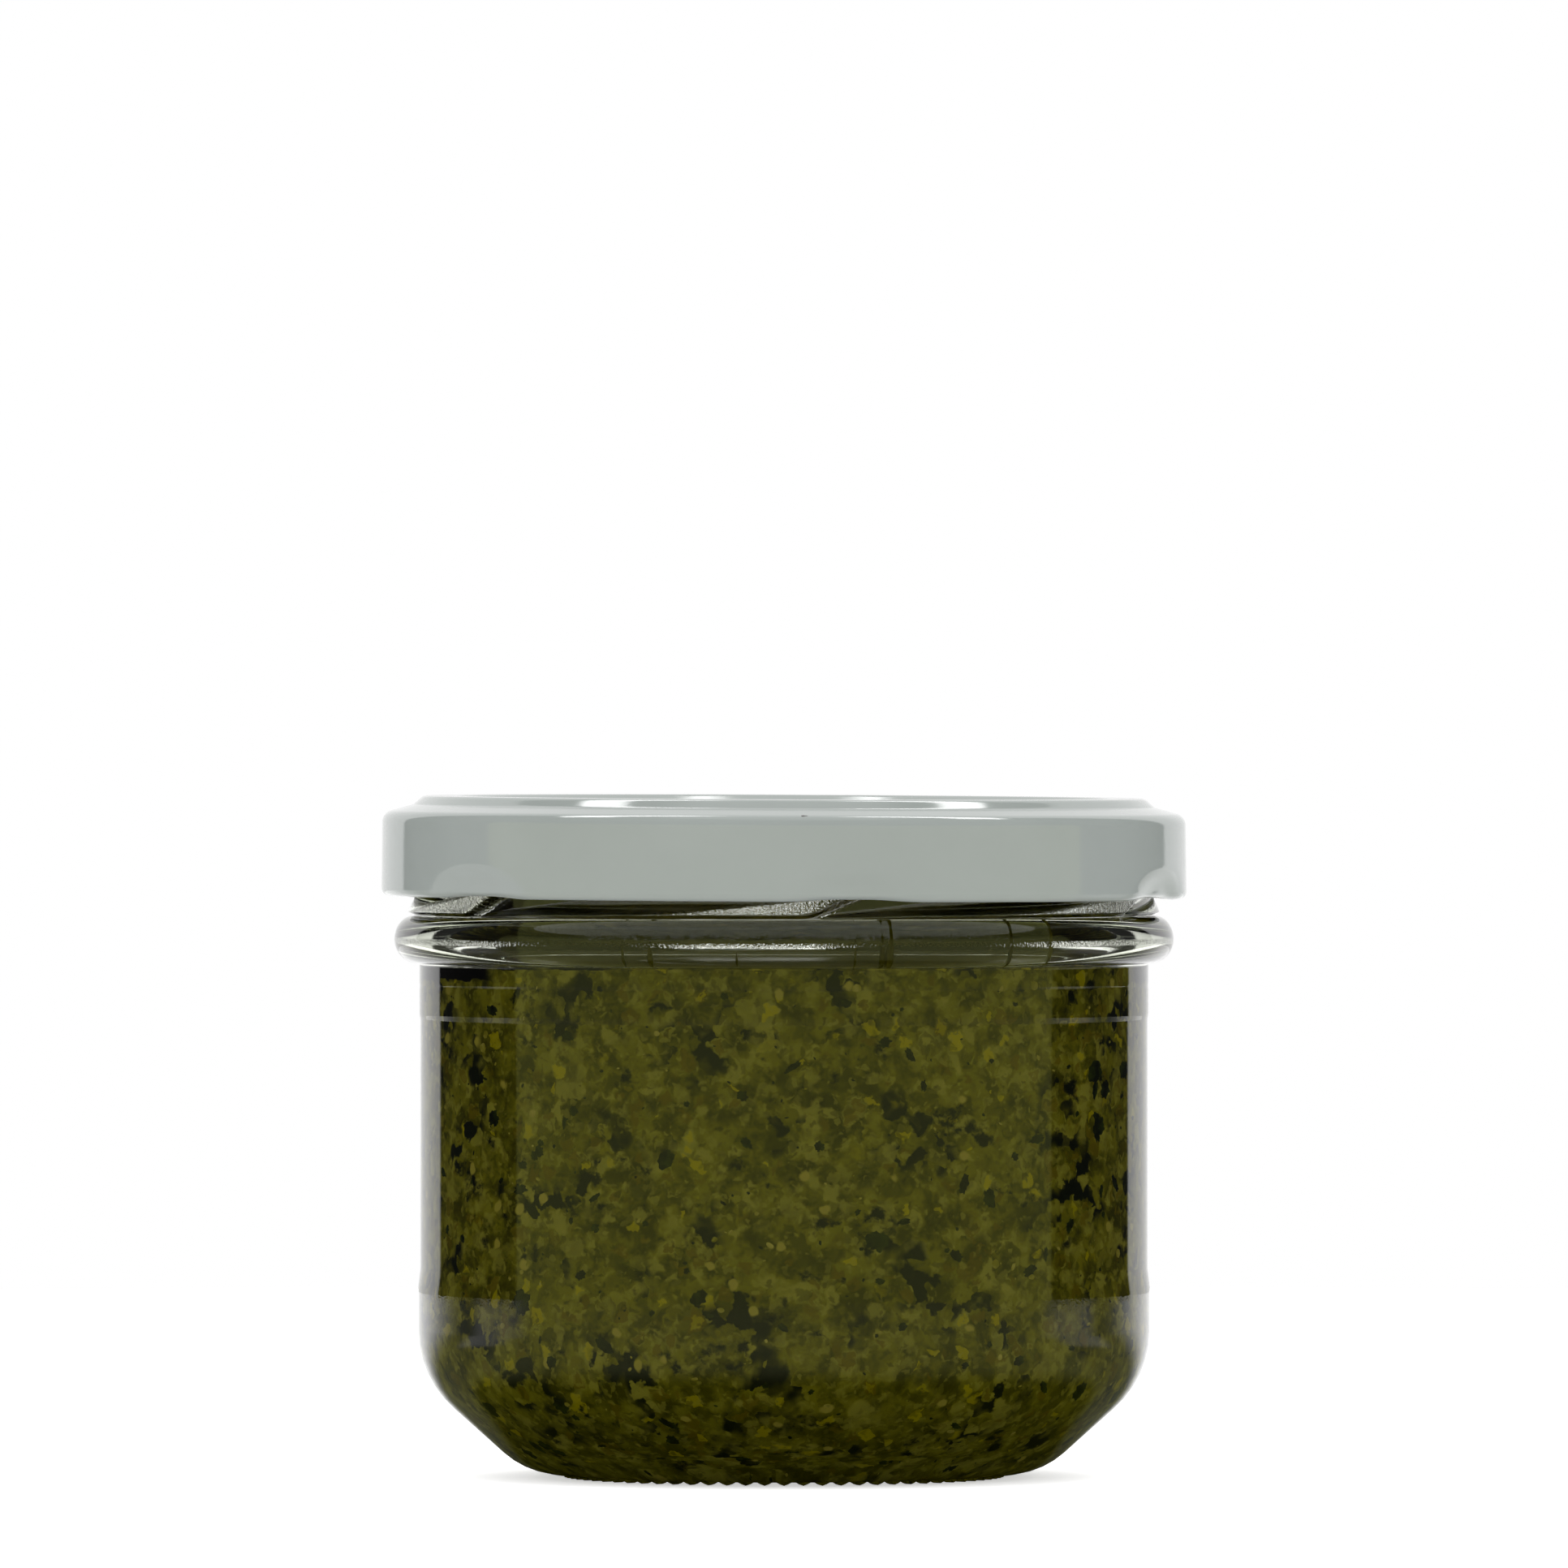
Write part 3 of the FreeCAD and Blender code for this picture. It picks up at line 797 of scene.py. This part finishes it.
def dotMask(tree, place, scale, size, chance):
    # small soft dots in a few cells of a scattered pattern
    cells = addNode(tree, "ShaderNodeTexVoronoi", {"Vector": place, "Scale": scale}, feature="F1")
    pick = addNode(tree, "ShaderNodeSeparateColor", {0: cells.outputs["Color"]}).outputs[0]
    chosen = mathNode(tree, "LESS_THAN", pick, chance)
    within = mapRange(tree, cells.outputs["Distance"], size * 0.6, size, 1.0, 0.0)
    return mathNode(tree, "MULTIPLY", chosen, within)


def stirPlace(tree, place, scale, reach):
    # moves a pattern's place about, so that the pattern runs ragged
    swirl = noiseAt(tree, place, scale, 3.0)["Color"]
    shift = addNode(tree, "ShaderNodeVectorMath", {0: swirl, 1: (reach, reach, reach)}, operation="MULTIPLY")
    return addNode(tree, "ShaderNodeVectorMath", {0: place, 1: shift.outputs[0]}, operation="ADD").outputs[0]


def cellValues(tree, place, scale, smoothness):
    # three random values for each cell of a soft scattered pattern
    inputs = {"Vector": place, "Scale": scale, "Smoothness": smoothness}
    cells = addNode(tree, "ShaderNodeTexVoronoi", inputs, feature="SMOOTH_F1").outputs["Color"]
    return splitPlace(tree, cells)


def pestoMaterial():
    material, tree, shader = newMaterial("pesto paste", Roughness=0.6)
    shader.inputs["Specular IOR Level"].default_value = 0.0
    still = objectPlace(tree)
    place = stirPlace(tree, still, *pesto["sway"])
    bitPlace = stirPlace(tree, place, *pesto["wander"])
    bits = cellValues(tree, bitPlace, pesto["bitScale"], 0.7)
    crumbs = cellValues(tree, bitPlace, pesto["crumbScale"], 0.6)
    colour = mixColour(tree, speckMask(tree, place, 330, 0.34, 0.62, 6), pesto["dark"], pesto["olive"])
    for values, tones in ((bits, pesto["bitTones"]), (crumbs, pesto["crumbTones"])):
        for channel, low, high, start, end, name in tones:
            cover = mapRange(tree, values[channel], low, high, start, end)
            colour = mixColour(tree, cover, colour, pesto[name])
    clump = speckMask(tree, place, 120, 0.5, 0.62, 3, 1, 0.9)
    leafy = mathNode(tree, "MULTIPLY", clump, mapRange(tree, bits[1], 0.3, 0.42, 1.0, 0.0))
    colour = mixColour(tree, leafy, colour, pesto["leaf"])
    colour = mixColour(tree, speckMask(tree, place, 210, 0.6, 0.68, 8, 1.2, 0.2), colour, pesto["leaf"])
    colour = mixColour(tree, dotMask(tree, place, 420, 0.3, 0.1), colour, pesto["grain"])
    parts = splitPlace(tree, still)
    level = pesto["level"] * mm
    radius = axisDistance(tree, parts)
    # the upper side takes its oil colour with painted sheen and light in the middle, and painted shade
    # towards the glass
    inner, outer = pesto["topFade"]
    shadeTowardGlass = mapRange(tree, radius, inner * mm, outer * mm)
    topOilAndSheen = mixColour(tree, shadeTowardGlass, pesto["topOilAndSheen"], pesto["topEdgeShade"])
    over = mapRange(tree, parts[2], level - 0.5 * mm, level + 0.2 * mm, 0.0, 0.85)
    colour = mixColour(tree, over, colour, topOilAndSheen)
    # painted shade at the glass, standing for dark pockets under the edge, ragged along its lower edge
    bearing = mathNode(tree, "ARCTAN2", parts[0], mathNode(tree, "MULTIPLY", parts[1], -1.0))
    atWall = mapRange(tree, radius, (jar["bore"] - 0.6) * mm, (jar["bore"] - 0.2) * mm)
    ragged = mathNode(tree, "MULTIPLY_ADD", bits[0], 0.6 * mm, parts[2])
    for start, end, deep in pesto["shadeSpans"]:
        inside = mathNode(tree, "MULTIPLY", mapRange(tree, bearing, start - 0.03, start + 0.05),
                          mapRange(tree, bearing, end - 0.05, end + 0.03, 1.0, 0.0))
        over = mapRange(tree, ragged, level - (deep - 0.3) * mm, level - (deep - 0.5) * mm)
        paintedShade = mathNode(tree, "MULTIPLY", mathNode(tree, "MULTIPLY", inside, atWall), over)
        colour = mixColour(tree, paintedShade, colour, pesto["shade"])
    tree.links.new(colour, shader.inputs["Base Color"])
    return material


def makePesto():
    piece = turnOutline("pesto_fill", pestoOutline(), pesto["steps"])
    shapePesto(piece)
    dress(piece, pestoMaterial(), "pesto")
    print("pesto:", len(piece.data.polygons), "faces")


def wallFilm(start, end, rise, columns):
    # a film of paste on the inside of the glass, ragged along its top
    deselectAll()
    bpy.ops.mesh.primitive_grid_add(x_subdivisions=columns, y_subdivisions=8, size=1)
    film = bpy.context.object
    for vertex in film.data.vertices:
        share, up = vertex.co.x + 0.5, vertex.co.y + 0.5
        bearing = start + (end - start) * share
        slow, quick = Vector((bearing * 0.12, 2, 5)), Vector((bearing * 0.6, 7, 1))
        ragged = 1.1 + 0.6 * noise.noise(slow) + 0.5 * noise.noise(quick)
        width = (end - start) * min(share, 1 - share)
        ends = smoothStep(width / min(4.0, (end - start) * 0.45))
        height = pesto["level"] - pesto["smearFoot"] + up * (pesto["smearFoot"] + rise * ragged * ends)
        turn = math.radians(bearing)
        radius = jar["bore"] + pesto["intoWall"]
        height = min(height, pesto["smearTop"])
        vertex.co = Vector((radius * math.sin(turn), -radius * math.cos(turn), height)) * mm
    bpy.ops.object.modifier_add(type="SOLIDIFY")
    film.modifiers[0].thickness = pesto["smearThickness"] * mm
    film.modifiers[0].offset = -1
    bpy.ops.object.modifier_apply(modifier=film.modifiers[0].name)
    return film


def makeSmears():
    films = [wallFilm(start, end, rise, 60) for start, end, rise in pesto["smears"]]
    for start, end, count, rise in pesto["fibres"]:
        for index in range(count):
            bearing = random.uniform(start, end)
            width = random.uniform(0.5, 2.6)
            films.append(wallFilm(bearing, bearing + width, rise * random.uniform(0.5, 1.2), 4))
    piece = joinPieces("pesto_smears", films)
    bpy.ops.object.shade_smooth()
    dress(piece, bpy.data.materials["pesto paste"], None)
    print("smears:", len(piece.data.polygons), "faces")


makePesto()
makeSmears()


# what is chopped into the pesto
basil = {
    "pieces": 620,
    "small": 0.4,
    "large": 3.6,
    "proud": 0.04,             # how far the middle of a scrap stands out of the paste
    "ragged": 0.45,
    "kinds": 6,
    "edges": 11,
    "dark": (0.004, 0.006, 0.003, 1),
    "pale": (0.02, 0.028, 0.003, 1),
}
nuts = {
    "pieces": 300,
    "small": 0.35,
    "large": 1.5,
    "proud": 0.04,
    "ragged": 0.2,
    "kinds": 4,
    "edges": 8,
    "dark": (0.16, 0.14, 0.008, 1),
    "pale": (0.3, 0.26, 0.05, 1),
}
scatter = {
    "under": 2.5,              # scraps start this far down the wall from the paste's edge
    "floor": 18,               # and stop this far from the middle of the floor
    "wallRadius": 33,          # turns a length round the wall into a bearing
    "crowding": 1.7,           # the higher, the more small scraps
}


def choppedKind(name, chopped):
    # a flat scrap about 1 mm across, with a ragged edge and a slightly raised middle
    deselectAll()
    bpy.ops.mesh.primitive_circle_add(vertices=chopped["edges"], radius=0.5 * mm, fill_type="TRIFAN")
    scrap = bpy.context.object
    scrap.name = name
    bpy.ops.object.mode_set(mode="EDIT")
    bpy.ops.mesh.select_all(action="SELECT")
    bpy.ops.mesh.subdivide(number_cuts=1)
    bpy.ops.object.mode_set(mode="OBJECT")
    for vertex in scrap.data.vertices:
        far = vertex.co.length / (0.5 * mm)
        vertex.co.xy *= 1 + chopped["ragged"] * random.uniform(-1, 1) * far
        vertex.co.z = (1 - far * far) * mm
    return scrap


def scatterChopped(name, chopped, material):
    path = wallPath()
    reach = path[-1][0] - scatter["floor"]
    kinds = [choppedKind(f"{name}_{kind}", chopped) for kind in range(chopped["kinds"])]
    copies = []
    for index in range(chopped["pieces"]):
        kind = random.choice(kinds)
        copy = kind.copy()
        copy.data = kind.data.copy()
        scene.collection.objects.link(copy)
        share = random.random() ** scatter["crowding"]
        size = chopped["small"] * (chopped["large"] / chopped["small"]) ** share
        turn, narrow = random.uniform(0, math.pi), random.uniform(0.35, 1.0)
        bearing, distance = random.uniform(-180, 180), random.uniform(scatter["under"], reach)
        for vertex in copy.data.vertices:
            along, aside = vertex.co.x / mm * size, vertex.co.y / mm * size * narrow
            sideways = along * math.cos(turn) - aside * math.sin(turn)
            down = along * math.sin(turn) + aside * math.cos(turn)
            lift = chopped["proud"] * (vertex.co.z / mm * 2 - 1)
            swing = math.degrees(sideways / scatter["wallRadius"])
            vertex.co = onWall(path, distance + down, bearing + swing, lift)
        copies.append(copy)
    for kind in kinds:
        bpy.data.objects.remove(kind)
    piece = joinPieces(name, copies)
    bpy.ops.object.mode_set(mode="EDIT")
    bpy.ops.mesh.select_all(action="SELECT")
    bpy.ops.mesh.normals_make_consistent(inside=False)
    bpy.ops.object.mode_set(mode="OBJECT")
    bpy.ops.object.shade_smooth()
    dress(piece, material, None)
    print(name + ":", len(piece.data.polygons), "faces")


def choppedMaterial(name, chopped):
    material, tree, shader = newMaterial(name, Roughness=0.6)
    shader.inputs["Specular IOR Level"].default_value = 0.0
    share = speckMask(tree, objectPlace(tree), 650, 0.35, 0.7, 4)
    tree.links.new(mixColour(tree, share, chopped["dark"], chopped["pale"]), shader.inputs["Base Color"])
    return material


scatterChopped("basil_flakes", basil, choppedMaterial("basil leaf", basil))
scatterChopped("nut_grains", nuts, choppedMaterial("nut grain", nuts))


print("scene ready")
